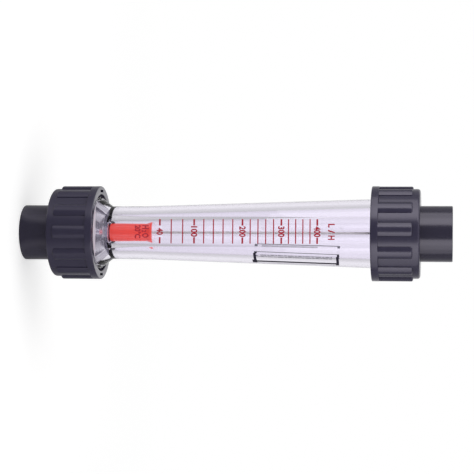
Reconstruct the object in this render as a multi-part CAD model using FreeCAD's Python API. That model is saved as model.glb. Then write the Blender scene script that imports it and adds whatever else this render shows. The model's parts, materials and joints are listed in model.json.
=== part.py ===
import FreeCAD
import Part
import math
import os

# Variable-area flow meter (rotameter) with a clear tapered tube, for 20 mm pipe.
# Units are millimetres. +Z is the direction of flow, Z = 0 is the inlet end face,
# and the printed scale faces -Y. The two unions are the same, one turned over.

# ---- driving dimensions ----
overall_length = 211.0
pipe_diameter = 20.0

# glued tail pieces
tail_radius = 13.5
tail_visible = 15.4
socket_radius = pipe_diameter / 2 + 0.1
socket_depth = 16.0
socket_lead_in = 0.5
tail_end_chamfer = 0.5
passage_radius = 7.5
flange_radius = 17.4
flange_thickness = 4.0

# union nuts
nut_length = 23.2
nut_wall = 3.0
nut_body_radius = 21.65
nut_collar_radius = 23.0
nut_collar_length = 3.6
nut_thread_radius = 18.3
nut_mouth_radius = 19.0
nut_mouth_depth = 2.0
nut_shoulder_round = 1.3
nut_edge_chamfer = 0.4
rib_count = 12
rib_length = 16.2
rib_width = 6.2
rib_flank = 0.35
rib_corner_round = 1.2
rib_end_slope = 0.8
pocket_count = 4
pocket_width = 6.0
pocket_thickness = 1.2
pocket_radius = 20.6
pocket_depth = 10.0
lower_nut_phase = 2.0
upper_nut_phase = -3.0

# clear measuring tube
barrel_radius = 17.8
barrel_length = 15.2
upper_barrel_length = 14.6
barrel_edge_round = 0.6
flare_length = 6.5
throat_radius = 13.0
neck_top_radius = 13.05
throat_round = 0.8
taper_start = 60.0
tube_top_radius = 16.7
bore_low_radius = 8.85
bore_low_z = 45.0
bore_high_radius = 12.5
inlet_radius = 13.8
inlet_cone_foot = 35.0
inlet_cone_top = 41.0
flat_depth_low = 10.95
flat_depth_high = 14.9
flat_depth_foot = 12.3

# float and its guide rod
rod_radius = 1.0
rod_end_cover = 1.5
float_rod_clearance = 0.08
float_rest_gap = 0.2
float_length = 21.5
float_radius = 7.0
float_head_radius = 8.1
float_head_land = 1.0
float_head_flare = 2.4
float_nose_chamfer = 0.8

# guides that hold the rod, and the soft stops at both ends of the float's travel
guide_ring_radius = 14.2
guide_ring_height = 3.0
guide_hub_radius = 3.0
guide_hub_chamfer = 0.4
guide_arm_width = 2.0
guide_arm_count = 3
guide_first_arm = 60.0
funnel_wall = 0.9
funnel_top = 43.4
stop_radius = 2.6
stop_height = 3.0
lower_stop_top = 43.8
upper_stop_bottom = 174.0

# seals
o_ring_radius = 15.3
o_ring_section = 1.8
o_ring_sides = 8
o_ring_groove_width = 2.0

running_gap = 0.3
overlap = 1.0    # how far a solid that is fused or cut reaches past the face it meets

# ---- worked out from the driving dimensions ----
flange_start = tail_visible + nut_wall + running_gap
tube_bottom = flange_start + flange_thickness
tube_top = overall_length - tube_bottom
nut_face = tail_visible + nut_length
upper_nut_face = overall_length - nut_face
bore_slope = (bore_high_radius - bore_low_radius) / (upper_nut_face - bore_low_z)
lower_hub_top = lower_stop_top - stop_height
upper_hub_bottom = upper_stop_bottom + stop_height
float_bottom = lower_stop_top + float_rest_gap
Z_AXIS = FreeCAD.Vector(0, 0, 1)
ORIGIN = FreeCAD.Vector(0, 0, 0)


def bore_radius(z):
    """Radius of the tapered measuring bore at height z."""
    return bore_low_radius + bore_slope * (z - bore_low_z)


def rounded_outline(corners):
    """Closed face in the XZ half-plane from (radius, z, corner round) corners."""
    count = len(corners)
    points = [FreeCAD.Vector(r, 0, z) for r, z, rounding in corners]
    starts = []
    ends = []
    middles = []
    for i in range(count):
        corner = points[i]
        rounding = corners[i][2]
        to_last = (points[i - 1] - corner).normalize()
        to_next = (points[(i + 1) % count] - corner).normalize()
        half_angle = to_last.getAngle(to_next) / 2
        setback = rounding / math.tan(half_angle)
        starts.append(corner + to_last * setback)
        ends.append(corner + to_next * setback)
        if rounding > 0:
            inward = (to_last + to_next).normalize()
            centre_distance = rounding / math.sin(half_angle)
            middles.append(corner + inward * (centre_distance - rounding))
        else:
            middles.append(None)
    edges = []
    for i in range(count):
        if middles[i] is not None:
            edges.append(Part.Arc(starts[i], middles[i], ends[i]).toShape())
        edges.append(Part.LineSegment(ends[i], starts[(i + 1) % count]).toShape())
    return Part.Face(Part.Wire(edges))


def turned(corners):
    """Solid of revolution about Z from (radius, z, corner round) corners."""
    return rounded_outline(corners).revolve(ORIGIN, Z_AXIS, 360)


def ring_of(shape, count, first=0.0):
    """Copies of a shape spaced evenly about Z, the first turned by an angle."""
    copies = []
    for i in range(count):
        copy = shape.copy()
        copy.rotate(ORIGIN, Z_AXIS, first + i * 360 / count)
        copies.append(copy)
    return copies


def turned_over(shape):
    """The same piece at the outlet end, facing the other way."""
    copy = shape.copy()
    middle = FreeCAD.Vector(0, 0, overall_length / 2)
    copy.rotate(middle, FreeCAD.Vector(0, 1, 0), 180)
    return copy


# ---- tail piece: glued socket, passage and flange with the seal groove ----
def make_tail():
    groove_inner = o_ring_radius - o_ring_groove_width / 2
    groove_outer = o_ring_radius + o_ring_groove_width / 2
    groove_floor = tube_bottom - o_ring_section
    return turned([
        (socket_radius + socket_lead_in, 0, 0),
        (tail_radius - tail_end_chamfer, 0, 0),
        (tail_radius, tail_end_chamfer, 0),
        (tail_radius, flange_start, 0),
        (flange_radius, flange_start, 0),
        (flange_radius, tube_bottom, 0),
        (groove_outer, tube_bottom, 0),
        (groove_outer, groove_floor, 0),
        (groove_inner, groove_floor, 0),
        (groove_inner, tube_bottom, 0),
        (passage_radius, tube_bottom, 0),
        (passage_radius, socket_depth, 0),
        (socket_radius, socket_depth, 0),
        (socket_radius, socket_lead_in, 0),
    ])


# ---- seal ring, squeezed flat between the tail's groove and the tube end ----
def make_o_ring():
    half = o_ring_section / 2
    reach = half / math.cos(math.pi / o_ring_sides)
    corners = []
    for i in range(o_ring_sides):
        angle = math.tau * (i + 0.5) / o_ring_sides
        radius = o_ring_radius + reach * math.cos(angle)
        corners.append((radius, tube_bottom - half + reach * math.sin(angle), 0))
    return turned(corners)


# ---- union nut ----
def nut_shell():
    collar_start = nut_face - nut_collar_length
    bore_start = tail_visible + nut_wall
    mouth_start = nut_face - nut_mouth_depth
    return turned([
        (tail_radius + running_gap, tail_visible, 0),
        (nut_body_radius, tail_visible, nut_shoulder_round),
        (nut_body_radius, collar_start, 0),
        (nut_collar_radius, collar_start, 0),
        (nut_collar_radius, nut_face - nut_edge_chamfer, 0),
        (nut_collar_radius - nut_edge_chamfer, nut_face, 0),
        (nut_mouth_radius, nut_face, 0),
        (nut_mouth_radius, mouth_start, 0),
        (nut_thread_radius, mouth_start, 0),
        (nut_thread_radius, bore_start, 0),
        (tail_radius + running_gap, bore_start, 0),
    ])


def grip_rib():
    """One crowned grip rib on +X, rounded off at its free end."""
    half = rib_width / 2
    root = nut_body_radius - overlap
    flank_top = math.sqrt(nut_body_radius ** 2 - half ** 2) + rib_flank
    corner_low = FreeCAD.Vector(root, -half, 0)
    flank_low = FreeCAD.Vector(flank_top, -half, 0)
    crown = FreeCAD.Vector(nut_collar_radius, 0, 0)
    flank_high = FreeCAD.Vector(flank_top, half, 0)
    corner_high = FreeCAD.Vector(root, half, 0)
    section = Part.Wire([
        Part.LineSegment(corner_low, flank_low).toShape(),
        Part.Arc(flank_low, crown, flank_high).toShape(),
        Part.LineSegment(flank_high, corner_high).toShape(),
        Part.LineSegment(corner_high, corner_low).toShape(),
    ])
    collar_start = nut_face - nut_collar_length
    rib_start = collar_start - rib_length
    bar = Part.Face(section).extrude(FreeCAD.Vector(0, 0, rib_length + overlap))
    bar.translate(FreeCAD.Vector(0, 0, rib_start))
    return bar.common(rib_plan(rib_start, collar_start + overlap))


def rib_plan(low, high):
    """Block that trims a rib to its rounded plan and slopes its free end."""
    half = rib_width / 2
    deep = nut_body_radius - 2 * overlap
    tall = nut_collar_radius + overlap
    slope_rate = rib_end_slope / (nut_collar_radius - nut_body_radius)
    slope_top = low + slope_rate * (tall - nut_body_radius)
    plan = [
        FreeCAD.Vector(deep, -half, high),
        FreeCAD.Vector(deep, -half, low + rib_corner_round),
        FreeCAD.Vector(deep, -half + rib_corner_round, low),
        FreeCAD.Vector(deep, half - rib_corner_round, low),
        FreeCAD.Vector(deep, half, low + rib_corner_round),
        FreeCAD.Vector(deep, half, high),
    ]
    bend = rib_corner_round * (1 - math.sqrt(0.5))
    near_corner = FreeCAD.Vector(deep, -half + bend, low + bend)
    far_corner = FreeCAD.Vector(deep, half - bend, low + bend)
    outline = Part.Wire([
        Part.LineSegment(plan[0], plan[1]).toShape(),
        Part.Arc(plan[1], near_corner, plan[2]).toShape(),
        Part.LineSegment(plan[2], plan[3]).toShape(),
        Part.Arc(plan[3], far_corner, plan[4]).toShape(),
        Part.LineSegment(plan[4], plan[5]).toShape(),
        Part.LineSegment(plan[5], plan[0]).toShape(),
    ])
    block = Part.Face(outline).extrude(FreeCAD.Vector(tall - deep, 0, 0))
    foot = FreeCAD.Vector(nut_body_radius, -half, low)
    slope = Part.makePolygon([
        foot,
        FreeCAD.Vector(tall, -half, low),
        FreeCAD.Vector(tall, -half, slope_top),
        foot,
    ])
    wedge = Part.Face(slope).extrude(FreeCAD.Vector(0, rib_width, 0))
    return block.cut(wedge)


def coring_pocket():
    """Narrow blind pocket moulded into the nut's face behind a rib."""
    corner = FreeCAD.Vector(
        pocket_radius - pocket_thickness / 2, -pocket_width / 2, nut_face - pocket_depth)
    return Part.makeBox(pocket_thickness, pocket_width, pocket_depth + overlap, corner)


def make_nut(phase):
    """Nut with one rib and one pocket at the given angle from +X."""
    shell = nut_shell()
    shell.rotate(ORIGIN, Z_AXIS, 180 / rib_count)
    nut = shell.multiFuse(ring_of(grip_rib(), rib_count))
    nut = nut.cut(Part.makeCompound(ring_of(coring_pocket(), pocket_count)))
    nut = nut.removeSplitter()
    nut.rotate(ORIGIN, Z_AXIS, phase)
    return nut


# ---- measuring tube: two barrels, flare, tapered wall, tapered bore, front flat ----
def tube_outside():
    flare_start = tube_bottom + barrel_length
    upper_barrel_start = tube_top - upper_barrel_length
    step = barrel_radius - tube_top_radius
    return turned([
        (0, tube_bottom, 0),
        (barrel_radius, tube_bottom, 0),
        (barrel_radius, flare_start, barrel_edge_round),
        (throat_radius, flare_start + flare_length, throat_round),
        (neck_top_radius, taper_start, 0),
        (tube_top_radius, upper_barrel_start - step, 0),
        (barrel_radius, upper_barrel_start, 0),
        (barrel_radius, tube_top, 0),
        (0, tube_top, 0),
    ])


def tube_inside():
    low_seat = tube_bottom + guide_ring_height
    high_seat = tube_top - guide_ring_height
    return turned([
        (0, tube_bottom - overlap, 0),
        (guide_ring_radius, tube_bottom - overlap, 0),
        (guide_ring_radius, low_seat, 0),
        (inlet_radius, low_seat, 0),
        (inlet_radius, inlet_cone_foot, 0),
        (bore_radius(inlet_cone_top), inlet_cone_top, 0),
        (bore_radius(high_seat), high_seat, 0),
        (guide_ring_radius, high_seat, 0),
        (guide_ring_radius, tube_top + overlap, 0),
        (0, tube_top + overlap, 0),
    ])


def front_flat():
    """Block that cuts the sloping scale face, which leans out again over the flare."""
    low = tube_bottom + barrel_length + barrel_edge_round / 2
    throat = tube_bottom + barrel_length + flare_length
    high = tube_top - upper_barrel_length
    slope = (flat_depth_high - flat_depth_low) / (upper_nut_face - taper_start)
    throat_depth = flat_depth_low + slope * (throat - taper_start)
    high_depth = flat_depth_low + slope * (high - taper_start)
    reach = barrel_radius + overlap
    side = [
        FreeCAD.Vector(-reach, -flat_depth_foot, low),
        FreeCAD.Vector(-reach, -throat_depth, throat),
        FreeCAD.Vector(-reach, -high_depth, high),
        FreeCAD.Vector(-reach, -reach, high),
        FreeCAD.Vector(-reach, -reach, low),
    ]
    outline = Part.makePolygon(side + [side[0]])
    return Part.Face(outline).extrude(FreeCAD.Vector(2 * reach, 0, 0))


def make_measuring_tube():
    return tube_outside().cut(tube_inside()).cut(front_flat())


# ---- guides: a clamped ring, three arms and a hub that holds the rod end ----
def make_guide(ring_inner_radius, ring_low, hub_low, hub_high):
    ring_high = ring_low + guide_ring_height
    hub_end_radius = guide_hub_radius - guide_hub_chamfer
    ring = turned([
        (ring_inner_radius, ring_low, 0),
        (guide_ring_radius, ring_low, 0),
        (guide_ring_radius, ring_high, 0),
        (ring_inner_radius, ring_high, 0),
    ])
    hub = turned([
        (0, hub_low, 0),
        (hub_end_radius, hub_low, 0),
        (guide_hub_radius, hub_low + guide_hub_chamfer, 0),
        (guide_hub_radius, hub_high - guide_hub_chamfer, 0),
        (hub_end_radius, hub_high, 0),
        (0, hub_high, 0),
    ])
    arm_corner = FreeCAD.Vector(0, -guide_arm_width / 2, ring_low)
    arm_length = ring_inner_radius + overlap
    arm = Part.makeBox(arm_length, guide_arm_width, guide_ring_height, arm_corner)
    guide = ring.multiFuse([hub] + ring_of(arm, guide_arm_count, guide_first_arm))
    return guide.cut(make_guide_rod()).removeSplitter()


def inlet_funnel():
    """Thin cone on the lower guide that lines the inlet and ends in a collar below the float."""
    foot = tube_bottom + guide_ring_height - overlap
    wide = inlet_radius - running_gap
    narrow = bore_radius(inlet_cone_top) - running_gap
    return turned([
        (wide - funnel_wall, foot, 0),
        (wide, foot, 0),
        (wide, inlet_cone_foot, 0),
        (narrow, inlet_cone_top, 0),
        (narrow, funnel_top, 0),
        (narrow - funnel_wall, funnel_top, 0),
        (narrow - funnel_wall, inlet_cone_top, 0),
        (wide - funnel_wall, inlet_cone_foot, 0),
    ])


def make_lower_guide():
    ring_inner_radius = inlet_radius - running_gap - funnel_wall
    guide = make_guide(ring_inner_radius, tube_bottom, tube_bottom, lower_hub_top)
    return guide.fuse(inlet_funnel()).removeSplitter()


def make_upper_guide():
    seat = tube_top - guide_ring_height
    return make_guide(bore_radius(seat), seat, upper_hub_bottom, tube_top)


# ---- soft stop, a bush on the rod against a hub ----
def make_stop(low):
    high = low + stop_height
    return turned([
        (rod_radius, low, 0),
        (stop_radius, low, 0),
        (stop_radius, high, 0),
        (rod_radius, high, 0),
    ])


# ---- guide rod, both ends blind in the hubs ----
def make_guide_rod():
    low = tube_bottom + rod_end_cover
    high = tube_top - rod_end_cover
    return Part.makeCylinder(rod_radius, high - low, FreeCAD.Vector(0, 0, low))


# ---- float: bored to slide on the rod, its sharp upper rim reads the scale ----
def make_float():
    top = float_bottom + float_length
    hole = rod_radius + float_rod_clearance
    return turned([
        (hole, float_bottom, 0),
        (float_radius - float_nose_chamfer, float_bottom, 0),
        (float_radius, float_bottom + float_nose_chamfer, 0),
        (float_radius, top - float_head_land - float_head_flare, 0),
        (float_head_radius, top - float_head_land, 0),
        (float_head_radius, top, 0),
        (hole, top, 0),
    ])


def main():
    pieces = {
        "measuring_tube": make_measuring_tube(),
        "float": make_float(),
        "guide_rod": make_guide_rod(),
        "lower_guide": make_lower_guide(),
        "upper_guide": make_upper_guide(),
        "lower_stop": make_stop(lower_hub_top),
        "upper_stop": make_stop(upper_stop_bottom),
        "lower_tail": make_tail(),
        "upper_tail": turned_over(make_tail()),
        "lower_nut": make_nut(-90.0 + lower_nut_phase),
        "upper_nut": turned_over(make_nut(-90.0 - upper_nut_phase)),
        "lower_o_ring": make_o_ring(),
        "upper_o_ring": turned_over(make_o_ring()),
    }
    os.makedirs("parts", exist_ok=True)
    for name, piece in pieces.items():
        print(name, "valid", piece.isValid(), "solids", len(piece.Solids),
              "volume", round(piece.Volume, 1))
        piece.exportStep("parts/" + name + ".step")


main()
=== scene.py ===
import json
import math
import bpy
from mathutils import Matrix, Vector

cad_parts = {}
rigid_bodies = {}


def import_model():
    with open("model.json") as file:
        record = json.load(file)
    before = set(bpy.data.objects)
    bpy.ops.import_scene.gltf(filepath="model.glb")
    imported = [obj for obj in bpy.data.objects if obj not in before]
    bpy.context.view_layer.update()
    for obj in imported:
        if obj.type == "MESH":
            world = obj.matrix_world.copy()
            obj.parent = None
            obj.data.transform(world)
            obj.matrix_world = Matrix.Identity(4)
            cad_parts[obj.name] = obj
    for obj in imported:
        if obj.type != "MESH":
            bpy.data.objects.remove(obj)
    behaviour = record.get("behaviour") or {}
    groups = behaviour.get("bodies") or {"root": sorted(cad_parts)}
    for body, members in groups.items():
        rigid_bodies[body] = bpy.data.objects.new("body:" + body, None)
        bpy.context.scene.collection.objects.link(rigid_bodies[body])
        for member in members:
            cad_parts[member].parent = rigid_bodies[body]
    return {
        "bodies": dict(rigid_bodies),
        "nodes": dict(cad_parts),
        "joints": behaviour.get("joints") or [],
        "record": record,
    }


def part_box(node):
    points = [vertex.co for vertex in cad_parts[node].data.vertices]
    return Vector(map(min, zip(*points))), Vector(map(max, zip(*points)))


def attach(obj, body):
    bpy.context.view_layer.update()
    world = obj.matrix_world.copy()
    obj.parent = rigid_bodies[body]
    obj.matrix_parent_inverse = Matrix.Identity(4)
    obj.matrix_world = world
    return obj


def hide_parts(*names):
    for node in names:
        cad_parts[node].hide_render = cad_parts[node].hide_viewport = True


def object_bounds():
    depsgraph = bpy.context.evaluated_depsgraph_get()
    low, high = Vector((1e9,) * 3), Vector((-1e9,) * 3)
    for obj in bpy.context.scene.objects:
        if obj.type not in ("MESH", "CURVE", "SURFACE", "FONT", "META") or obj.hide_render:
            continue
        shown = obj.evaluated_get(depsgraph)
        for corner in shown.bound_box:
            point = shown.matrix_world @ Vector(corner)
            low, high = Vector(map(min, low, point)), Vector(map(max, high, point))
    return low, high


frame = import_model()
cadLow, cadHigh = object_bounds()
mm = 0.001
nearAxis = 0.001    # a solid spun piece stops this many millimetres short of its axis
closeTo = 0.01      # measures that differ by fewer millimetres than this are the same
weldGap = 1e-7      # points that are fewer metres apart than this become one
white = (1, 1, 1, 1)
black = (0, 0, 0, 1)
print("frame loaded")


def clearSelection():
    bpy.ops.object.select_all(action="DESELECT")


def workOn(piece):
    clearSelection()
    bpy.context.view_layer.objects.active = piece
    piece.select_set(True)


def openEdit(piece, mode="VERT"):  # edit mode with nothing selected
    workOn(piece)
    bpy.ops.object.mode_set(mode="EDIT")
    bpy.ops.mesh.select_mode(type=mode)
    bpy.ops.mesh.select_all(action="DESELECT")


def closeEdit():
    bpy.ops.object.mode_set(mode="OBJECT")


# edit mode with the wanted edges selected; the test gets an edge's two ends in millimetres
def openWithEdges(piece, wanted):
    openEdit(piece, "EDGE")
    closeEdit()
    mesh = piece.data
    for edge in mesh.edges:
        first, second = (mesh.vertices[i].co / mm for i in edge.vertices)
        edge.select = wanted(first, second)
        if edge.select:
            for i in edge.vertices:
                mesh.vertices[i].select = True
    bpy.ops.object.mode_set(mode="EDIT")


def bevelEdges(piece, wanted, width, segments):
    openWithEdges(piece, wanted)
    bpy.ops.mesh.bevel(offset=width * mm, segments=segments, profile=0.5)
    closeEdit()


def applyPlace(piece):
    workOn(piece)
    bpy.ops.object.transform_apply(location=True, rotation=True, scale=True)


def copyPiece(piece, name):  # a second piece with its own mesh
    workOn(piece)
    bpy.ops.object.duplicate(linked=False)
    copy = bpy.context.object
    copy.name = name
    return copy


def joinPieces(pieces):
    workOn(pieces[0])
    for piece in pieces[1:]:
        piece.select_set(True)
    bpy.ops.object.join()
    return pieces[0]


def combine(piece, tool, operation):  # adds or cuts a closed tool, which is then gone
    workOn(piece)
    step = piece.modifiers.new("combine", "BOOLEAN")
    step.object = tool
    step.operation = operation
    step.solver = "EXACT"
    bpy.ops.object.modifier_apply(modifier="combine")
    bpy.data.objects.remove(tool)


def smooth(piece, angle=30):
    workOn(piece)
    bpy.ops.object.shade_smooth_by_angle(angle=math.radians(angle))


def roundOff(corners, arcSteps):  # (radius, height, rounding) corners to the points of a closed outline
    outline = []
    for i, (radius, height, rounding) in enumerate(corners):
        corner = Vector((radius, height))
        if rounding == 0:
            outline.append(corner)
            continue
        before = (Vector(corners[i - 1][:2]) - corner).normalized()
        after = (Vector(corners[(i + 1) % len(corners)][:2]) - corner).normalized()
        half = before.angle(after) / 2
        centre = corner + (before + after).normalized() * (rounding / math.sin(half))
        first = corner + before * (rounding / math.tan(half)) - centre
        last = corner + after * (rounding / math.tan(half)) - centre
        for k in range(arcSteps + 1):
            outline.append(centre + first.slerp(last, k / arcSteps).normalized() * rounding)
    return outline


def spinOutline(name, corners, steps=128, arcSteps=5):  # a closed outline spun about Z, sizes in millimetres
    outline = [Vector((p.x, 0, p.y)) * mm for p in roundOff(corners, arcSteps)]
    clearSelection()
    bpy.ops.mesh.primitive_circle_add(vertices=3, radius=mm, location=(0, 0, 0))
    piece = bpy.context.object
    piece.name = name
    openEdit(piece)
    bpy.ops.mesh.select_all(action="SELECT")
    bpy.ops.mesh.merge(type="CENTER")
    bpy.ops.transform.translate(value=outline[0])
    for last, this in zip(outline, outline[1:] + outline[:1]):
        bpy.ops.mesh.extrude_region_move(TRANSFORM_OT_translate={"value": this - last})
    bpy.ops.mesh.select_all(action="SELECT")
    bpy.ops.mesh.remove_doubles(threshold=weldGap)
    bpy.ops.mesh.spin(steps=steps, angle=math.tau, center=(0, 0, 0), axis=(0, 0, 1))
    bpy.ops.mesh.select_all(action="SELECT")
    bpy.ops.mesh.remove_doubles(threshold=weldGap)
    bpy.ops.mesh.normals_make_consistent(inside=False)
    closeEdit()
    return piece


def turnOver(piece, name, length):  # the same piece at the outlet end, facing the other way
    copy = copyPiece(piece, name)
    copy.rotation_euler = (0, math.pi, 0)
    copy.location = (0, 0, length)
    applyPlace(copy)
    return copy


def heights(low, high, count):  # evenly spaced rows between two heights
    return [low + (high - low) * k / (count - 1) for k in range(count)]


class Wire:  # a shader socket that adds Math nodes when it is calculated with
    def __init__(self, board, socket):
        self.board = board
        self.socket = socket

    def __add__(self, other):
        return self.board.calculate("ADD", self, other)

    def __sub__(self, other):
        return self.board.calculate("SUBTRACT", self, other)

    def __rsub__(self, other):
        return self.board.calculate("SUBTRACT", other, self)

    def __mul__(self, other):
        return self.board.calculate("MULTIPLY", self, other)

    def __truediv__(self, other):
        return self.board.calculate("DIVIDE", self, other)

    def __neg__(self):
        return self.board.calculate("MULTIPLY", self, -1.0)

    __radd__ = __add__
    __rmul__ = __mul__


class Board:  # the node tree of one material or world
    def __init__(self, owner):
        owner.use_nodes = True
        self.tree = owner.node_tree
        self.tree.nodes.clear()

    def add(self, kind, settings=None, inputs=None, output=0):
        node = self.tree.nodes.new(kind)
        for key, value in (settings or {}).items():
            if key == "stops":
                self.setStops(node.color_ramp, value)
            else:
                setattr(node, key, value)
        for key, value in (inputs or {}).items():
            if isinstance(value, Wire):
                self.tree.links.new(value.socket, node.inputs[key])
            else:
                node.inputs[key].default_value = value
        if not node.outputs:
            return None
        return Wire(self, node.outputs[output])

    def setStops(self, ramp, stops):
        while len(ramp.elements) > 1:
            ramp.elements.remove(ramp.elements[-1])
        ramp.elements[0].position, ramp.elements[0].color = stops[0]
        for position, colour in stops[1:]:
            ramp.elements.new(position).color = colour

    def calculate(self, operation, *values):
        return self.add("ShaderNodeMath", {"operation": operation}, dict(enumerate(values)))

    def place(self, kind="Object"):
        return self.add("ShaderNodeTexCoord", {}, {}, kind)

    def along(self, vector, axis):  # one of a vector's three values
        return self.add("ShaderNodeSeparateXYZ", {}, {"Vector": vector}, axis)

    def ray(self, kind):  # 1 for a ray of this kind, such as Camera or Shadow
        return self.add("ShaderNodeLightPath", {}, {}, f"Is {kind} Ray")

    def glowing(self, colour, strength):
        return self.add("ShaderNodeEmission", {}, {"Color": colour, "Strength": strength})

    def mixShaders(self, factor, first, second):
        return self.add("ShaderNodeMixShader", {}, {0: factor, 1: first, 2: second})

    def mixColours(self, factor, first, second):
        return self.add("ShaderNodeMix", {"data_type": "RGBA"}, {0: factor, 6: first, 7: second}, 2)

    def noise(self, scale, detail=2.0, stretch=(1, 1, 1)):  # 0 to 1, features about 1/scale metres
        stretched = self.add("ShaderNodeMapping", {}, {"Vector": self.place(), "Scale": stretch})
        return self.add("ShaderNodeTexNoise", {}, {"Vector": stretched, "Scale": scale, "Detail": detail}, 0)

    def bump(self, height, strength, distance):
        depth = distance * mm
        return self.add("ShaderNodeBump", {}, {"Height": height, "Strength": strength, "Distance": depth})

    def finish(self, surface):
        self.add("ShaderNodeOutputMaterial", {}, {"Surface": surface})


def newMaterial(name):
    material = bpy.data.materials.new(name)
    return material, Board(material)


# opaque moulded plastic or rubber: mottled colour and a satin skin with a fine grain
def moulded(name, s, polishedAbove=None):
    material, board = newMaterial(name)
    cloud = board.noise(s["cloudScale"], detail=3.0)
    grain = board.noise(s["grainScale"], detail=4.0)
    colour = board.mixColours(cloud, s["dark"], s["light"])
    roughness = s["roughness"] + (grain - 0.5) * s["roughnessSpread"]
    skin = board.bump(grain, s["bump"], s["bumpDepth"])
    metal = 0.0
    # painted glow where a look sets one: light given out by a part that is no lamp
    glow = s.get("glow", black)
    if polishedAbove:  # a bright cap over this height, in millimetres
        metal = board.calculate("GREATER_THAN", board.along(board.place(), "Z"), polishedAbove * mm)
        colour = board.mixColours(metal, colour, s["cap"])
        glow = board.mixColours(metal, glow, black)
    board.finish(board.add("ShaderNodeBsdfPrincipled", {}, {
        "Base Color": colour, "Roughness": roughness, "IOR": s["ior"], "Specular IOR Level": s["specular"],
        "Specular Tint": s["sheen"], "Metallic": metal, "Emission Color": glow, "Emission Strength": 1.0,
        "Coat Weight": s["coat"], "Coat Roughness": 0.04, "Normal": skin}))
    return material


# gives a piece its finish, the body it rides on and the node that it stands for
def dressPiece(piece, material, body, node=None):
    piece.data.materials.clear()
    piece.data.materials.append(material)
    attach(piece, body)
    if node:
        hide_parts(node)


def boxOf(node):  # lowest and highest corner of a CAD node in millimetres
    low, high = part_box(node)
    return Vector(low) / mm, Vector(high) / mm


tubeLow, tubeHigh = boxOf("measuring_tube")
nutLow, nutHigh = boxOf("lower_nut")
tailLow, tailHigh = boxOf("lower_tail")
floatLow, floatHigh = boxOf("float")
rodLow, rodHigh = boxOf("guide_rod")
overallLength = cadHigh[2] / mm
nutFace = nutHigh.z
upperNutFace = overallLength - nutFace

tubeSizes = {
    "barrelLength": 15.2, "upperBarrelLength": 14.6, "barrelRound": 0.7, "ledge": 0.3, "flareLength": 6.5,
    "throatRadius": 13.0, "throatRound": 0.8, "neckTop": 60.0, "neckTopRadius": 13.05, "topRadius": 16.7,
    "edgeRound": 0.3, "boreLow": (8.85, 45.0), "boreHigh": (12.5, 172.4),  # (radius, height)
    "seatRadius": 14.2, "seatHeight": 3.0,
    "inletRadius": 13.8, "inletConeFoot": 35.0, "inletFootRound": 0.8,
    "inletConeTop": 41.0, "inletTopRound": 0.4,
    "flatLow": (10.95, 60.0), "flatHigh": (14.9, 172.4),  # (depth, height)
    "flatFoot": 12.3, "flatEdge": 0.45, "edgeColumn": 34, "edgeColumns": 5,
    "threadPitch": 3.6, "threadDepth": 1.1, "threadMargin": 1.6, "steps": 216,
    "lowRows": 44, "wallRows": 26, "highRows": 42, "boreRows": 20, "wallFoot": 48, "ledgeHalf": 0.02,
    "throatLand": 0.5, "rowGap": 1.0, "inletRowGap": 0.6}  # rows of points keep off corners by a gap


def onLine(low, high, z):  # the value at height z on the line through two (value, height) pairs
    return low[0] + (high[0] - low[0]) * (z - low[1]) / (high[1] - low[1])


def boreRadius(z):
    return onLine(tubeSizes["boreLow"], tubeSizes["boreHigh"], z)


def flatDepth(z):
    return onLine(tubeSizes["flatLow"], tubeSizes["flatHigh"], z)


def faceDepth(z):  # the scale face, which leans out again over the flare
    throat = tubeLow.z + tubeSizes["barrelLength"] + tubeSizes["flareLength"]
    if z > throat:
        return flatDepth(z)
    ledge = tubeLow.z + tubeSizes["barrelLength"] + tubeSizes["ledge"]
    return onLine((tubeSizes["flatFoot"], ledge), (flatDepth(throat), throat), z)


def wallRadius(z):  # outside of the tapered part of the tube
    s = tubeSizes
    taperTop = tubeHigh.z - s["upperBarrelLength"] - tubeHigh.x + s["topRadius"]
    return onLine((s["neckTopRadius"], s["neckTop"]), (s["topRadius"], taperTop), max(z, s["neckTop"]))


def within(low, high, value):
    return max(low, min(high, value))


# 0 at the crest and 1 at the root of one turn; the wave is cut to flat crests and roots
def threadShape(turn):
    steepness = 1.6
    return 0.5 - 0.5 * within(-1.0, 1.0, steepness * math.cos(math.tau * turn))


def cutThread(piece, radius, low, high, pitch, depth):  # moves one wall of a spun piece into a helical thread
    for vertex in piece.data.vertices:
        x, y, z = vertex.co / mm
        reach = math.hypot(x, y)
        if abs(reach - radius) > closeTo or not low < z < high:
            continue
        runOut = min(1.0, (z - low) / pitch, (high - z) / pitch)
        turn = z / pitch - math.atan2(y, x) / math.tau
        scale = (reach + depth * runOut * threadShape(turn)) / reach
        vertex.co.x *= scale
        vertex.co.y *= scale


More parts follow.
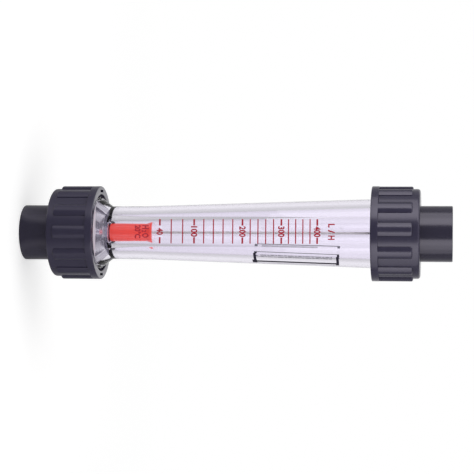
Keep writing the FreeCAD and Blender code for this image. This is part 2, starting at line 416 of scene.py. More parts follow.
# pushes the front of the spun wall back to the sloping scale face, with rounded edges
def flattenFront(tube):
    s = tubeSizes
    ledge = tubeLow.z + s["barrelLength"] + s["ledge"]
    top = tubeHigh.z - s["upperBarrelLength"]
    columnEdge = math.radians(s["edgeColumn"])    # columns up to here are spread over the face
    columnRound = math.radians(s["edgeColumns"])  # half the columns that make the rounded edge
    for vertex in tube.data.vertices:
        x, y, z = vertex.co / mm
        reach = math.hypot(x, y)
        angle = math.atan2(x, -y)
        level = within(ledge, top, z)
        depth = faceDepth(level)
        outer = ledge < z < top and reach > boreRadius(tubeHigh.z)  # a bore is narrower than any wall
        wall = max(wallRadius(level), reach if outer else 0)
        edge = math.acos(min(1.0, depth / wall))
        halfRound = s["flatEdge"] / wall
        stops = [(0, 0), (columnEdge - columnRound, edge - halfRound),
                 (columnEdge + columnRound, edge + halfRound), (math.pi, math.pi)]
        for (before, spreadBefore), (after, spreadAfter) in zip(stops, stops[1:]):
            if before <= abs(angle) <= after:
                share = (abs(angle) - before) / (after - before)
                spread = spreadBefore + (spreadAfter - spreadBefore) * share
        spread = math.copysign(spread, angle)
        if outer:
            face = depth / max(0.05, math.cos(spread))    # kept finite at the sides and the back
            blend = reach * math.tan(edge) * halfRound
            mix = within(0.0, 1.0, 0.5 + 0.5 * (reach - face) / blend)
            reach = reach + (face - reach) * mix - blend * mix * (1 - mix)
        vertex.co.x = math.sin(spread) * reach * mm
        vertex.co.y = -math.cos(spread) * reach * mm


def makeTube():
    s = tubeSizes
    radius = tubeHigh.x
    flareFoot = tubeLow.z + s["barrelLength"]
    upperBarrel = tubeHigh.z - s["upperBarrelLength"]
    lowSeat = tubeLow.z + s["seatHeight"]
    highSeat = tubeHigh.z - s["seatHeight"]
    taperTop = upperBarrel - radius + s["topRadius"]
    ledge = flareFoot + s["ledge"]
    throat = flareFoot + s["flareLength"]
    flareFrom, flareTo = (radius, flareFoot), (s["throatRadius"], throat)
    rounding, gap = s["edgeRound"], s["rowGap"]
    corners = [(s["seatRadius"], tubeLow.z, 0), (radius, tubeLow.z, rounding)]
    corners += [(radius, z, 0) for z in heights(tubeLow.z + gap, flareFoot - gap, s["lowRows"])]
    corners += [(radius, flareFoot, s["barrelRound"])]
    aboutLedge = (ledge - s["ledgeHalf"], ledge + s["ledgeHalf"])
    corners += [(onLine(flareFrom, flareTo, z), z, 0) for z in aboutLedge]
    corners += [(s["throatRadius"], throat, s["throatRound"])]
    corners += [(s["throatRadius"], throat + s["throatLand"], 0)]
    corners += [(wallRadius(z), z, 0) for z in heights(s["wallFoot"], taperTop - gap, s["wallRows"])]
    corners += [(s["topRadius"], taperTop, rounding), (radius, upperBarrel, rounding)]
    corners += [(radius, z, 0) for z in heights(upperBarrel + gap, tubeHigh.z - gap, s["highRows"])]
    corners += [(radius, tubeHigh.z, rounding), (s["seatRadius"], tubeHigh.z, 0)]
    corners += [(s["seatRadius"], highSeat, 0)]
    boreFoot = s["inletConeTop"] + s["inletRowGap"]
    corners += [(boreRadius(z), z, 0) for z in heights(highSeat, boreFoot, s["boreRows"])]
    corners += [(boreRadius(s["inletConeTop"]), s["inletConeTop"], s["inletTopRound"]),
                (s["inletRadius"], s["inletConeFoot"], s["inletFootRound"]),
                (s["inletRadius"], lowSeat, 0), (s["seatRadius"], lowSeat, 0)]
    tube = spinOutline("clear_tube", corners, s["steps"], arcSteps=8)
    margin = s["threadMargin"]
    cutThread(tube, radius, tubeLow.z + margin, flareFoot - margin, s["threadPitch"], -s["threadDepth"])
    cutThread(tube, radius, upperBarrel + margin, tubeHigh.z - margin, s["threadPitch"], -s["threadDepth"])
    flattenFront(tube)
    smooth(tube, 32)
    return tube


# the pale, opaque, rougher look for the ledge is a painted highlight: the bright rim under the scale face
glassLook = {"tint": (0.907, 0.877, 0.962, 1), "ior": 1.57, "ripple": 0.004, "rippleDepth": 0.02,
             "rippleScale": 90.0, "rippleStretch": (1, 1, 0.1),
             "ledgeHighlight": (0.86, 0.83, 0.92, 1), "ledgeHighlightRoughness": 0.3, "ledgeHighlightHalf": 0.03}


def clearPlastic():  # polished clear moulding with the faint ripple of its mould, and a painted highlight on the ledge under the scale face
    s = glassLook
    material, board = newMaterial("clearPlastic")
    waves = board.noise(s["rippleScale"], detail=1.0, stretch=s["rippleStretch"])
    ripple = board.bump(waves, s["ripple"], s["rippleDepth"])
    glass = board.add("ShaderNodeBsdfPrincipled", {}, {
        "Base Color": s["tint"], "Roughness": 0.0, "IOR": s["ior"], "Transmission Weight": 1.0,
        "Normal": ripple})
    ledgeHighlight = board.add("ShaderNodeBsdfPrincipled", {}, {
        "Base Color": s["ledgeHighlight"], "Roughness": s["ledgeHighlightRoughness"]})
    ledge = tubeLow.z + tubeSizes["barrelLength"] + tubeSizes["ledge"]
    height = board.along(board.place(), "Z") / mm
    ledgeHighlightBand = board.calculate("COMPARE", height, ledge, s["ledgeHighlightHalf"])  # painted highlight: the ledge under the scale face is pale and opaque, so it shows as a bright rim
    surface = board.mixShaders(ledgeHighlightBand, glass, ledgeHighlight)
    through = board.add("ShaderNodeBsdfTransparent", {}, {"Color": white})
    inside = board.calculate("MAXIMUM", board.ray("Shadow"), board.ray("Diffuse"))
    board.finish(board.mixShaders(inside, surface, through))  # lets plain light reach the float and the rod
    return material


dressPiece(makeTube(), clearPlastic(), "meter", "measuring_tube")
print("clear tube made")

nutSizes = {
    "wall": 3.0, "bodyRadius": 21.65, "shoulderRound": 1.3, "collarLength": 3.6, "collarRound": 0.35,
    "mouthRadius": 19.0, "mouthDepth": 2.0, "mouthRound": 0.25, "boreRadius": 18.3, "endHole": 13.8,
    "edgeRound": 0.3, "threadPitch": 3.6, "threadDepth": 0.7, "boreRows": 56,
    "ribs": 12, "ribLength": 16.2, "ribWidth": 6.2, "ribFlank": 0.35, "ribEndRound": 0.9, "ribArcSteps": 14,
    "ribRoot": 1.0, "ribOverlap": 0.3, "crownInside": 0.02,  # how far a rib sinks in and stays in the collar
    "pockets": 4, "pocketWidth": 6.0, "pocketThickness": 1.2, "pocketRadius": 20.6, "pocketDepth": 10.0,
    "cutterProud": 1.0,  # how far what cuts a pocket stands out of the nut's face
    "lowerPhase": 2.0, "upperPhase": -3.0, "steps": 192}

nutLook = {"dark": (0.030, 0.0265, 0.056, 1), "light": (0.034, 0.030, 0.063, 1), "cloudScale": 120.0,
           "grainScale": 5200.0, "roughness": 0.24, "roughnessSpread": 0.08, "ior": 1.5, "specular": 1.0,
           "sheen": (0.93, 0.88, 1.0, 1), "coat": 0.0, "bump": 0.12, "bumpDepth": 0.02}


def makeRib():  # one crowned grip rib on +X, rounded at its free end
    s = nutSizes
    half = s["ribWidth"] / 2
    crown = nutHigh.x - s["crownInside"]
    edge = math.sqrt(s["bodyRadius"] ** 2 - half ** 2) + s["ribFlank"]
    root = s["bodyRadius"] - s["ribRoot"]
    rise = crown - edge
    arcRadius = (half ** 2 + rise ** 2) / (2 * rise)
    arcHalf = math.asin(half / arcRadius)
    top = nutFace - s["collarLength"]
    low = top - s["ribLength"]
    points = [(root, -half), (edge, -half)]
    for k in range(1, s["ribArcSteps"]):
        turn = -arcHalf + 2 * arcHalf * k / s["ribArcSteps"]
        points.append((crown - arcRadius + arcRadius * math.cos(turn), arcRadius * math.sin(turn)))
    points += [(edge, half), (root, half)]
    clearSelection()
    bpy.ops.mesh.primitive_circle_add(
        vertices=len(points), radius=mm, fill_type="NGON", location=(0, 0, 0))
    rib = bpy.context.object
    for vertex, (x, y) in zip(rib.data.vertices, points):
        vertex.co = Vector((x, y, low)) * mm
    openEdit(rib, "FACE")
    bpy.ops.mesh.select_all(action="SELECT")
    bpy.ops.mesh.extrude_region_move(
        TRANSFORM_OT_translate={"value": (0, 0, (top + s["ribOverlap"] - low) * mm)})
    bpy.ops.mesh.select_all(action="SELECT")
    bpy.ops.mesh.normals_make_consistent(inside=False)
    closeEdit()
    bevelEdges(rib, lambda a, b: max(a.z, b.z) < low + closeTo and max(a.x, b.x) > root + closeTo,
               s["ribEndRound"], segments=6)
    return rib


def makeNut():
    s = nutSizes
    top = nutFace - s["collarLength"]
    boreFloor = nutLow.z + s["wall"]
    mouth = nutFace - s["mouthDepth"]
    collar = nutHigh.x
    corners = [
        (s["endHole"], nutLow.z, s["edgeRound"]), (s["bodyRadius"], nutLow.z, s["shoulderRound"]),
        (s["bodyRadius"], top, s["edgeRound"]), (collar, top, s["edgeRound"]),
        (collar, nutFace, s["collarRound"]), (s["mouthRadius"], nutFace, s["mouthRound"]),
        (s["mouthRadius"], mouth, 0)]
    corners += [(s["boreRadius"], z, 0) for z in heights(mouth, boreFloor, s["boreRows"])]
    corners += [(s["endHole"], boreFloor, 0)]
    nut = spinOutline("lower_union_nut", corners, s["steps"], arcSteps=6)
    ribs = [makeRib()]
    for k in range(1, s["ribs"]):
        ribs.append(copyPiece(ribs[0], "rib"))
    for k, rib in enumerate(ribs):
        rib.rotation_euler = (0, 0, math.tau * (k + 0.5) / s["ribs"])
        applyPlace(rib)
    combine(nut, joinPieces(ribs), "UNION")
    combine(nut, makePockets(), "DIFFERENCE")
    cutThread(nut, s["boreRadius"], boreFloor, mouth + closeTo, s["threadPitch"], s["threadDepth"])
    return nut


def makePockets():  # slots in the nut's face, each over every third rib
    s = nutSizes
    pockets = []
    for k in range(s["pockets"]):
        turn = math.tau * (k / s["pockets"] + 0.5 / s["ribs"])
        clearSelection()
        bpy.ops.mesh.primitive_cube_add(size=mm, location=(0, 0, 0))
        pocket = bpy.context.object
        pocket.scale = (s["pocketThickness"], s["pocketWidth"], s["pocketDepth"] + s["cutterProud"])
        pocket.rotation_euler = (0, 0, turn)
        height = nutFace + (s["cutterProud"] - s["pocketDepth"]) / 2
        reach = s["pocketRadius"]
        pocket.location = Vector((reach * math.cos(turn), reach * math.sin(turn), height)) * mm
        applyPlace(pocket)
        pockets.append(pocket)
    return joinPieces(pockets)


def turnPiece(piece, degrees):
    piece.rotation_euler = (0, 0, math.radians(degrees))
    applyPlace(piece)


nutPlastic = moulded("nutPlastic", nutLook)
lowerNut = makeNut()
upperNut = turnOver(lowerNut, "upper_union_nut", overallLength * mm)
halfRib = 180 / nutSizes["ribs"]
turnPiece(lowerNut, -90 + nutSizes["lowerPhase"] - halfRib)
turnPiece(upperNut, -90 + nutSizes["upperPhase"] + halfRib + 180)
for nut, node in ((lowerNut, "lower_nut"), (upperNut, "upper_nut")):
    smooth(nut, 40)
    dressPiece(nut, nutPlastic, node, node)
print("nuts made")

tailSizes = {
    "radius": 13.5, "endRound": 0.5, "socketRadius": 10.1, "socketDepth": 16.0, "leadIn": 0.5,
    "leadInRound": 0.15, "passageRadius": 7.5, "flangeThickness": 4.0, "edgeRound": 0.3, "fineRound": 0.2,
    "sealRadius": 15.3, "sealHalf": 0.9, "grooveHalf": 1.0, "grooveRound": 0.1}

tailLook = {"dark": (0.0255, 0.0228, 0.043, 1), "light": (0.0285, 0.0255, 0.048, 1), "cloudScale": 150.0,
            "grainScale": 5600.0, "roughness": 0.2, "roughnessSpread": 0.06, "ior": 1.5, "specular": 1.0,
            "sheen": (0.93, 0.88, 1.0, 1), "coat": 0.0, "bump": 0.1, "bumpDepth": 0.02}

sealLook = {"dark": (0.012, 0.012, 0.012, 1), "light": (0.022, 0.022, 0.022, 1), "cloudScale": 300.0,
            "grainScale": 3000.0, "roughness": 0.6, "roughnessSpread": 0.1, "ior": 1.5, "specular": 0.5,
            "sheen": white, "coat": 0.0, "bump": 0.2, "bumpDepth": 0.03}


def makeTail():
    s = tailSizes
    top = tailHigh.z
    edge, fine = s["edgeRound"], s["fineRound"]
    flangeStart = top - s["flangeThickness"]
    grooveFloor = top - 2 * s["sealHalf"]
    grooveOuter, grooveInner = s["sealRadius"] + s["grooveHalf"], s["sealRadius"] - s["grooveHalf"]
    return spinOutline("lower_union_tail", [
        (s["socketRadius"] + s["leadIn"], 0, s["leadInRound"]), (s["radius"], 0, s["endRound"]),
        (s["radius"], flangeStart, edge), (tailHigh.x, flangeStart, edge), (tailHigh.x, top, fine),
        (grooveOuter, top, s["grooveRound"]), (grooveOuter, grooveFloor, fine),
        (grooveInner, grooveFloor, fine), (grooveInner, top, s["grooveRound"]),
        (s["passageRadius"], top, edge), (s["passageRadius"], s["socketDepth"], edge),
        (s["socketRadius"], s["socketDepth"], fine), (s["socketRadius"], s["leadIn"], fine)], steps=160)


def makeSeal():  # round section, drawn as a square whose corners meet
    s = tailSizes
    half = s["sealHalf"]
    middle = tailHigh.z - half
    inner, outer = s["sealRadius"] - half, s["sealRadius"] + half
    return spinOutline("lower_seal", [
        (outer, middle - half, half), (outer, middle + half, half),
        (inner, middle + half, half), (inner, middle - half, half)], arcSteps=6)


tailPlastic = moulded("tailPlastic", tailLook)
sealRubber = moulded("sealRubber", sealLook)
for make, part, node, material, slot in (
        (makeTail, "union_tail", "tail", tailPlastic, "tail_plastic"),
        (makeSeal, "seal", "o_ring", sealRubber, "seal_rubber")):
    lower = make()
    upper = turnOver(lower, "upper_" + part, overallLength * mm)
    for piece, end in ((lower, "lower_"), (upper, "upper_")):
        smooth(piece, 35)
        dressPiece(piece, material, "meter", end + node)
print("tails and seals made")

floatSizes = {"bodyRadius": 7.0, "hole": 1.08, "noseChamfer": 0.5, "noseRounds": (0.2, 0.3),
              "headLand": 1.0, "headFlare": 2.4, "neckRound": 1.5, "landRound": 0.15, "edgeRound": 0.1,
              "capDepth": 0.05}

floatLook = {"dark": (1.0, 0.095, 0.075, 1), "light": (1.0, 0.115, 0.092, 1), "cloudScale": 160.0,
             "grainScale": 3500.0, "roughness": 0.14, "roughnessSpread": 0.06, "ior": 1.5, "specular": 0.5,
             "sheen": white, "coat": 1.0, "bump": 0.05, "bumpDepth": 0.01, "cap": (0.95, 0.80, 0.82, 1),
             "glow": (0.26, 0.008, 0.006, 1)}  # painted glow: the float gives out red light of its own, though it is no lamp


def makeFloat():
    s = floatSizes
    low, high, edge = floatLow.z, floatHigh.z, s["edgeRound"]
    noseLow, noseHigh = s["noseRounds"]
    return spinOutline("red_float", [
        (s["hole"], low, edge), (s["bodyRadius"] - s["noseChamfer"], low, noseLow),
        (s["bodyRadius"], low + s["noseChamfer"], noseHigh),
        (s["bodyRadius"], high - s["headLand"] - s["headFlare"], s["neckRound"]),
        (floatHigh.x, high - s["headLand"], s["landRound"]), (floatHigh.x, high, edge),
        (s["hole"], high, edge)])


redFloat = makeFloat()
smooth(redFloat, 35)
floatPlastic = moulded("floatPlastic", floatLook, floatHigh.z - floatSizes["capDepth"])
dressPiece(redFloat, floatPlastic, "float", "float")
print("float made")

rodLook = {"colour": (0.86, 0.84, 0.83, 1), "darker": (0.74, 0.72, 0.71, 1), "metallic": 0.45,
           "roughness": 0.4, "roughnessSpread": 0.2, "bump": 0.1, "bumpDepth": 0.01, "endRound": 0.3,
           "lineScale": 9000.0, "lineStretch": (1, 1, 0.02)}


def drawnSteel():  # fine lines along the rod
    s = rodLook
    material, board = newMaterial("rodSteel")
    lines = board.noise(s["lineScale"], stretch=s["lineStretch"])
    colour = board.mixColours(lines, s["darker"], s["colour"])
    roughness = s["roughness"] + (lines - 0.5) * s["roughnessSpread"]
    board.finish(board.add("ShaderNodeBsdfPrincipled", {}, {
        "Base Color": colour, "Metallic": s["metallic"], "Roughness": roughness,
        "Normal": board.bump(lines, s["bump"], s["bumpDepth"])}))
    return material


def makeRod():
    radius, rounding = rodHigh.x, rodLook["endRound"]
    return spinOutline("rod", [
        (nearAxis, rodLow.z, 0), (radius, rodLow.z, rounding), (radius, rodHigh.z, rounding),
        (nearAxis, rodHigh.z, 0)], steps=48, arcSteps=4)


rod = makeRod()
smooth(rod, 35)
dressPiece(rod, drawnSteel(), "meter", "guide_rod")

guideSizes = {"ringHeight": 3.0, "ringRound": 0.2, "hubRadius": 3.0, "hubRound": 0.4, "armWidth": 2.0,
              "arms": 3, "firstArm": 60.0, "armRound": 0.25, "armLower": 0.1, "armOverlap": 0.5,
              "stopHole": 1.0, "stopRound": 0.4, "funnelPress": 0.04, "funnelGap": 0.3, "funnelWall": 0.9,
              "funnelTop": 43.4, "funnelOverlap": 1.0, "coneFootRound": 0.8, "coneTopRound": 0.4,
              "funnelRound": 0.15,
              "pressedTo": 78.0, "clearFrom": 86.0}  # degrees from the front

guideLook = {"dark": (0.36, 0.325, 0.46, 1), "light": (0.44, 0.405, 0.55, 1), "cloudScale": 200.0,
             "grainScale": 4000.0, "roughness": 0.22, "roughnessSpread": 0.1, "ior": 3.2, "specular": 1.0,
             "sheen": white, "coat": 1.0, "bump": 0.1, "bumpDepth": 0.02}


def makeGuide(name, node, ringLow, ringInner):  # clamped ring, three arms and the hub round the rod's end
    s = guideSizes
    low, high = boxOf(node)
    ringHigh = ringLow + s["ringHeight"]
    rounding = s["ringRound"]
    ring = spinOutline(name, [
        (ringInner, ringLow, rounding), (high.x, ringLow, rounding),
        (high.x, ringHigh, rounding), (ringInner, ringHigh, rounding)])
    hub = spinOutline("hub", [
        (nearAxis, low.z, 0), (s["hubRadius"], low.z, s["hubRound"]),
        (s["hubRadius"], high.z, s["hubRound"]), (nearAxis, high.z, 0)], steps=64)
    for k in range(s["arms"]):
        turn = math.radians(s["firstArm"] + 360 * k / s["arms"])
        clearSelection()
        bpy.ops.mesh.primitive_cube_add(size=mm, location=(0, 0, 0))
        arm = bpy.context.object
        reach = ringInner + s["armOverlap"]
        middle = ringLow + s["ringHeight"] / 2
        arm.scale = (reach, s["armWidth"], s["ringHeight"] - s["armLower"])
        arm.rotation_euler = (0, 0, turn)
        arm.location = Vector((math.cos(turn) * reach / 2, math.sin(turn) * reach / 2, middle)) * mm
        applyPlace(arm)
        bevelEdges(arm, lambda a, b: abs(a.z - b.z) < closeTo, s["armRound"], segments=3)
        combine(hub, arm, "UNION")
    combine(ring, hub, "UNION")
    smooth(ring, 35)
    return ring


# thin cone on the lower guide, which lines the inlet and ends in a collar below the float
def makeFunnel():
    s = guideSizes
    foot = tubeLow.z + s["ringHeight"] - s["funnelOverlap"]
    coneFoot, coneTop = tubeSizes["inletConeFoot"], tubeSizes["inletConeTop"]
    wide = tubeSizes["inletRadius"] - s["funnelGap"]
    narrow = boreRadius(coneTop) - s["funnelGap"]
    wall = s["funnelWall"]
    footRound, topRound, rim = s["coneFootRound"], s["coneTopRound"], s["funnelRound"]
    funnel = spinOutline("funnel", [
        (wide - wall, foot, 0), (wide, foot, 0), (wide, coneFoot, footRound), (narrow, coneTop, topRound),
        (narrow, s["funnelTop"], rim), (narrow - wall, s["funnelTop"], rim),
        (narrow - wall, coneTop, topRound), (wide - wall, coneFoot, footRound)], steps=180)
    for vertex in funnel.data.vertices:  # pressed to the clear wall behind the scale face, so no gap shows
        x, y, z = vertex.co / mm
        reach = math.hypot(x, y)
        turn = math.degrees(abs(math.atan2(x, -y)))
        inner = onLine((wide - wall, coneFoot), (narrow - wall, coneTop), within(coneFoot, coneTop, z))
        if reach > inner + wall / 2:
            share = within(0.0, 1.0, (s["clearFrom"] - turn) / (s["clearFrom"] - s["pressedTo"]))
            scale = 1 + share * (s["funnelGap"] + s["funnelPress"]) / reach
            vertex.co.x *= scale
            vertex.co.y *= scale
    return funnel


def makeStop(end):  # soft ring round the rod
    s = guideSizes
    low, high = boxOf(end + "stop")
    return spinOutline(end + "float_stop", [
        (s["stopHole"], low.z, 0), (high.x, low.z, s["stopRound"]), (high.x, high.z, s["stopRound"]),
        (s["stopHole"], high.z, 0)], steps=64)


guidePlastic = moulded("guidePlastic", guideLook)
highSeat = tubeHigh.z - tubeSizes["seatHeight"]
lowerRing = tubeSizes["inletRadius"] - guideSizes["funnelGap"] - guideSizes["funnelWall"]
lowerGuide = makeGuide("lower_rod_guide", "lower_guide", tubeLow.z, lowerRing)
combine(lowerGuide, makeFunnel(), "UNION")
smooth(lowerGuide, 35)
dressPiece(lowerGuide, guidePlastic, "meter", "lower_guide")
upperGuide = makeGuide("upper_rod_guide", "upper_guide", highSeat, boreRadius(highSeat))
dressPiece(upperGuide, guidePlastic, "meter", "upper_guide")
for end in ("lower_", "upper_"):
    stop = makeStop(end)
    smooth(stop, 35)
    dressPiece(stop, sealRubber, "meter", end + "stop")
print("rod, guides and stops made")

scaleSizes = {
    "marks": {40: 70.0, 100: 87.0, 200: 110.7, 300: 129.6, 400: 146.9},  # reading: height up the tube
    "step": 20, "left": -6.2, "right": 5.6, "thin": 0.55, "thick": 0.85, "gapLeft": -3.1, "gapRight": 2.6,
    "digits": 3.2, "digitWidth": 1.72, "digitsMiddle": -0.2, "bold": 0.036, "proud": 0.015, "sunk": 0.01,
    # text, middle across, foot, width, height
    "words": [("L", -3.15, 152.1, 1.8, 3.2), ("/", -0.35, 152.1, 1.7, 3.2), ("H", 2.6, 152.1, 2.1, 3.2),
              ("H", -2.25, 61.2, 1.9, 3.3), ("2", -0.35, 61.0, 1.3, 2.2), ("O", 1.8, 61.2, 2.2, 3.3),
              ("20\u00b0C", -0.05, 57.5, 6.4, 3.1)]}

frameSizes = {
    "bottom": 66.8,  # the lower rule's direction round the tube, in degrees
    "proud": 0.02, "sunk": 0.01,
    # low height, high height, lower edge and upper edge above the lower rule
    "black": [(115.7, 117.0, 1.0, 6.4), (114.9, 117.1, -2.1, 1.4), (155.7, 157.0, 0.8, 5.7),
              (155.4, 156.9, -2.0, 0.8), (117.0, 155.7, -0.75, 0.75), (116.3, 117.6, 6.2, 7.5),
              (156.2, 157.3, 5.6, 7.5)],
    "grey": [(116.6, 157.2, 7.1, 7.5), (117.0, 155.6, -2.3, -1.95)],
    "rows": [(5.2, 0.5), (4.1, 0.4)], "rowLow": 119.2, "rowHigh": 153.6,  # middle above the rule, height
    "dashes": [2.9, 1.1, 1.9, 0.8, 2.4, 1.5], "gap": 0.45}

# painted refracted image: the frame's faint second image beside the scale, drawn as grey print
paintedImageSizes = {
    # left, right, low height and high height of the bars, before they lean outward
    "bars": [(5.50, 5.86, 118.2, 156.6), (5.7, 6.8, 116.8, 118.2), (5.55, 6.7, 156.6, 157.9)],
    "lean": 0.0264, "leanFoot": 118.2, "strokeLeft": 6.05, "strokeRight": 6.95, "strokeWidth": 0.26,
    "strokeStep": 0.54, "strokes": 50, "firstStroke": 120.3}


def layOnFlat(piece):  # lays a flat drawing, x across and z up, on the sloping scale face
    for vertex in piece.data.vertices:
        vertex.co.y -= flatDepth(vertex.co.z / mm) * mm


def makeBar(left, right, low, high):  # a thin printed bar; y runs from its outer to its sunk face
    s = scaleSizes
    clearSelection()
    bpy.ops.mesh.primitive_cube_add(size=mm, location=(0, 0, 0))
    bar = bpy.context.object
    bar.scale = (right - left, s["proud"] + s["sunk"], high - low)
    bar.location = Vector(((left + right) / 2, (s["sunk"] - s["proud"]) / 2, (low + high) / 2)) * mm
    applyPlace(bar)
    return bar


def makeWord(text, middle, foot, width, height):  # lettering stretched to its width and height
    s = scaleSizes
    clearSelection()
    bpy.ops.object.text_add(location=(0, 0, 0))
    word = bpy.context.object
    word.data.body = text
    word.data.offset = s["bold"]
    word.data.extrude = 0.1  # any thickness will do, since only the side of each point counts below
    word.data.resolution_u = 4
    bpy.ops.object.convert(target="MESH")
    word = bpy.context.object
    across = [v.co.x for v in word.data.vertices]
    tall = [v.co.y for v in word.data.vertices]
    for vertex in word.data.vertices:
        x = (vertex.co.x - min(across)) / (max(across) - min(across)) - 0.5
        z = (vertex.co.y - min(tall)) / (max(tall) - min(tall))
        y = -s["proud"] if vertex.co.z > 0 else s["sunk"]
        vertex.co = Vector((middle + x * width, y, foot + z * height)) * mm
    return word


def makeScale():  # thin marks, thick marks broken by their numbers, and the words
    s = scaleSizes
    pieces = []
    readings = sorted(s["marks"])
    for low, high in zip(readings, readings[1:]):
        for reading in range(low + s["step"], high, s["step"]):
            z = onLine((s["marks"][low], low), (s["marks"][high], high), reading)
            pieces.append(makeBar(s["left"], s["right"], z - s["thin"] / 2, z + s["thin"] / 2))
    for reading in readings:
        z = s["marks"][reading]
        for left, right in ((s["left"], s["gapLeft"]), (s["gapRight"], s["right"])):
            pieces.append(makeBar(left, right, z - s["thick"] / 2, z + s["thick"] / 2))
        text = str(reading)
        width = s["digitWidth"] * len(text)
        pieces.append(makeWord(text, s["digitsMiddle"], z - s["digits"] / 2, width, s["digits"]))
    for word in s["words"]:
        pieces.append(makeWord(*word))
    scale = joinPieces(pieces)
    scale.name = "flow_scale"
    layOnFlat(scale)
    return scale


def wrapOnWall(low, high, lower, upper):  # a printed bar that follows the tapered wall
    s = frameSizes
    clearSelection()
    bpy.ops.mesh.primitive_cube_add(size=2, location=(0, 0, 0))
    bar = bpy.context.object
    openEdit(bar)
    bpy.ops.mesh.select_all(action="SELECT")
    bpy.ops.mesh.subdivide(number_cuts=5)
    closeEdit()
    for vertex in bar.data.vertices:
        z = (low + high) / 2 + vertex.co.z * (high - low) / 2
        reach = wallRadius(z) + (s["proud"] if vertex.co.y < 0 else -s["sunk"])
        along = (lower + upper) / 2 - vertex.co.x * (upper - lower) / 2
        angle = math.radians(s["bottom"]) - along / wallRadius(z)
        vertex.co = Vector((math.sin(angle) * reach, -math.cos(angle) * reach, z)) * mm
    return bar


def makeEcho():  # painted refracted image of the frame: thin bars and a row of short strokes that lean outward as they rise
    s = paintedImageSizes
    bars = [makeBar(*bar) for bar in s["bars"]]
    for k in range(s["strokes"]):
        low = s["firstStroke"] + k * s["strokeStep"]
        bars.append(makeBar(s["strokeLeft"], s["strokeRight"], low, low + s["strokeWidth"]))
    paintedImage = joinPieces(bars)
    for vertex in paintedImage.data.vertices:
        vertex.co.x += s["lean"] * (vertex.co.z - s["leanFoot"] * mm)
    layOnFlat(paintedImage)
    return paintedImage


def makeFrame():  # black frame, and grey rules with rows of dashes in place of wording, joined with the painted refracted image of the frame
    s = frameSizes
    frame = joinPieces([wrapOnWall(*bar) for bar in s["black"]])
    frame.name = "label_frame"
    bars = list(s["grey"])
    for row, (middle, tall) in enumerate(s["rows"]):
        low, k = s["rowLow"], row * 2
        while low < s["rowHigh"]:
            high = low + s["dashes"][k % len(s["dashes"])]
            bars.append((low, high, middle - tall / 2, middle + tall / 2))
            low, k = high + s["gap"], k + 1
    rules = joinPieces([wrapOnWall(*bar) for bar in bars] + [makeEcho()])
    rules.name = "label_rules_and_painted_image"
    return frame, rules


inkLook = {
    "redInk": ((0.43, 0.022, 0.043, 1), (0.52, 0.03, 0.055, 1)),  # dark and light patches
    "blackInk": ((0.018, 0.014, 0.032, 1), (0.024, 0.019, 0.042, 1)),
    # the grey also paints the refracted image of the frame beside the scale
    "greyInkAndPaintedImage": ((0.18, 0.17, 0.22, 1), (0.24, 0.23, 0.28, 1)),
    "roughness": 0.4, "roughnessSpread": 0.15, "specular": 0.2, "bump": 0.1, "bumpDepth": 0.005,
    "patchScale": 900.0, "grainScale": 6000.0}


def ink(name):  # printed ink, slightly uneven
    s = inkLook
    material, board = newMaterial(name)
    patches = board.noise(s["patchScale"], detail=3.0)
    grain = board.noise(s["grainScale"])
    board.finish(board.add("ShaderNodeBsdfPrincipled", {}, {
        "Base Color": board.mixColours(patches, *s[name]),
        "Roughness": s["roughness"] + patches * s["roughnessSpread"], "Specular IOR Level": s["specular"],
        "Normal": board.bump(grain, s["bump"], s["bumpDepth"])}))
    return material


labelFrame, labelRulesAndImage = makeFrame()
prints = ((makeScale(), "redInk", "scale_print"), (labelFrame, "blackInk", "frame_print"),
          (labelRulesAndImage, "greyInkAndPaintedImage", "frame_print"))
for printed, inkName, slot in prints:
    dressPiece(printed, ink(inkName), "meter", None)
print("scale and label frame printed")

cameraSet = {"turn": 2.3, "distance": 759.4, "height": 212.1, "side": 3.46, "pitch": 7.93, "yaw": -0.12,
             "roll": 0.268, "lens": 118.93}


def makeCamera():  # turned on its side, so that the outlet end is on the right
    s = cameraSet
    lying = Matrix(((0, -1, 0), (0, 0, -1), (1, 0, 0)))
    turn = Matrix.Rotation(math.radians(s["turn"]), 3, "Z")
    yaw = Matrix.Rotation(math.radians(-s["yaw"]), 3, "Z")
    pitch = Matrix.Rotation(math.radians(-s["pitch"]), 3, "X")
    aim = yaw @ pitch
    axes = turn @ aim @ lying @ Matrix.Rotation(math.radians(s["roll"]), 3, "Z")
    place = turn @ Vector((s["side"], -s["distance"], s["height"])) * mm
    clearSelection()
    bpy.ops.object.camera_add(location=place, rotation=axes.to_euler())
    camera = bpy.context.object
    camera.data.sensor_width = 36
    camera.data.lens = s["lens"]
    camera.data.clip_start = 0.01
    camera.data.clip_end = 30
    bpy.context.scene.camera = camera


makeCamera()

studioSet = {
    "floorColour": (0.8, 0.8, 0.8, 1), "floorGlow": 0.5, "floorSize": 30, "fadeStart": 0.08, "fadeEnd": 0.4,
    "worldLevel": 0.4,
    # brightness round the object by direction in degrees, front 0, back 180: what opaque pieces mirror
    "ring": [(-180, 1.1), (-158, 0.6), (-145, 0.36), (-120, 0.3), (-85, 0.27), (-62, 0.42), (-46, 0.56),
             (-34, 0.3), (-27, 0.13), (22, 0.13), (30, 0.26), (42, 0.38), (60, 0.25), (90, 0.2),
             (120, 0.24), (140, 0.36), (158, 0.55), (180, 1.1)],
    # and what shows through clear plastic
    "through": [(-180, 1.0), (-150, 1.0), (-130, 0.75), (-90, 0.5), (-40, 0.6), (-34, 0.1), (26, 0.1),
                (32, 0.6), (90, 0.5), (130, 0.75), (150, 1.0), (180, 1.0)],
    "ringAbove": 0.4, "throughAbove": 0.35,  # both of them straight up and down
    # softboxes: first direction, last direction, brightness
    "lamps": {"leftFront": (-34.5, -66, 1.35), "leftSide": (-66, -94, 1.02), "rightFront": (25, 50, 1.2),
              "rightMiddle": (50, 70, 0.98), "rightSide": (70, 90, 0.62)},
    "lampDistance": 700.0, "lampHeight": 1300.0, "lampFoot": 20.0}


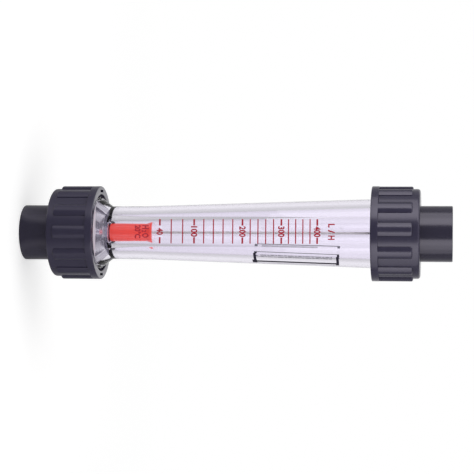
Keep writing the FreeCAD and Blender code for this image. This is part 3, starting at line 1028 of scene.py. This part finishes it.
def studioRing(board, place, ring):  # brightness by the direction round the object
    angle = board.calculate("ARCTAN2", board.along(place, "X"), -board.along(place, "Y"))
    stops = [((degrees + 180) / 360, (level, level, level, 1)) for degrees, level in studioSet[ring]]
    around = board.add("ShaderNodeValToRGB", {"stops": stops}, {"Fac": angle / math.tau + 0.5})
    height = board.along(place, "Z")
    above = height * height
    return around * (1 - above) + above * studioSet[ring + "Above"]


# what looks straight at the studio, what looks through clear plastic and what only mirrors it
def rayMasks(board):
    camera, through, glossy = board.ray("Camera"), board.ray("Transmission"), board.ray("Glossy")
    return camera * (1 - through), through, glossy * (1 - through) * (1 - camera)


def makeWorld():
    world = bpy.data.worlds.new("studio")
    bpy.context.scene.world = world
    board = Board(world)
    direct, through, mirrored = rayMasks(board)
    direction = board.place("Generated")
    plain = 1 - direct - through - mirrored
    strength = (direct + through * studioRing(board, direction, "through")
                + mirrored * studioRing(board, direction, "ring") + plain * studioSet["worldLevel"])
    background = board.add("ShaderNodeBackground", {}, {"Color": white, "Strength": strength})
    board.add("ShaderNodeOutputWorld", {}, {"Surface": background})


def makeFloor():
    clearSelection()
    bpy.ops.mesh.primitive_plane_add(size=studioSet["floorSize"], location=(0, 0, 0))
    floor = bpy.context.object
    floor.name = "floor"
    material, board = newMaterial("paleFloor")
    direct, through, mirrored = rayMasks(board)
    place = board.place()
    diffuse = board.add("ShaderNodeBsdfDiffuse", {}, {"Color": studioSet["floorColour"]})
    glow = board.glowing(white, direct * studioSet["floorGlow"])
    lit = board.add("ShaderNodeAddShader", {}, {0: diffuse, 1: glow})
    away = board.add("ShaderNodeVectorMath", {"operation": "LENGTH"}, {0: place}, "Value")
    fade = board.add("ShaderNodeMapRange", {"interpolation_type": "SMOOTHSTEP"}, {
        "Value": away, "From Min": studioSet["fadeStart"], "From Max": studioSet["fadeEnd"]})
    shown = board.mixShaders(direct * fade, lit, board.glowing(white, 1.0))
    level = mirrored * studioRing(board, place, "ring") + through * studioRing(board, place, "through")
    board.finish(board.mixShaders(mirrored + through, shown, board.glowing(white, level)))
    floor.data.materials.append(material)


def makeLamp(name, first, last, level):  # softbox between two directions round the object
    s = studioSet
    ends = [Vector((math.sin(math.radians(a)), -math.cos(math.radians(a)), 0)) * s["lampDistance"]
            for a in (first, last)]
    middle = (ends[0] + ends[1]) / 2
    width = (ends[1] - ends[0]).length
    middle.z = s["lampFoot"] + s["lampHeight"] / 2
    facing = Vector((-middle.x, -middle.y, 0))
    clearSelection()
    bpy.ops.object.light_add(
        type="AREA", location=middle * mm, rotation=facing.to_track_quat("-Z", "Y").to_euler())
    lamp = bpy.context.object
    lamp.name = name
    lamp.data.shape = "RECTANGLE"
    lamp.data.size = width * mm
    lamp.data.size_y = s["lampHeight"] * mm
    lamp.data.energy = level * math.pi * lamp.data.size * lamp.data.size_y


makeWorld()
makeFloor()
for name, (first, last, level) in studioSet["lamps"].items():
    makeLamp(name, first, last, level)
bpy.context.scene.view_settings.view_transform = "Standard"
print("studio set")
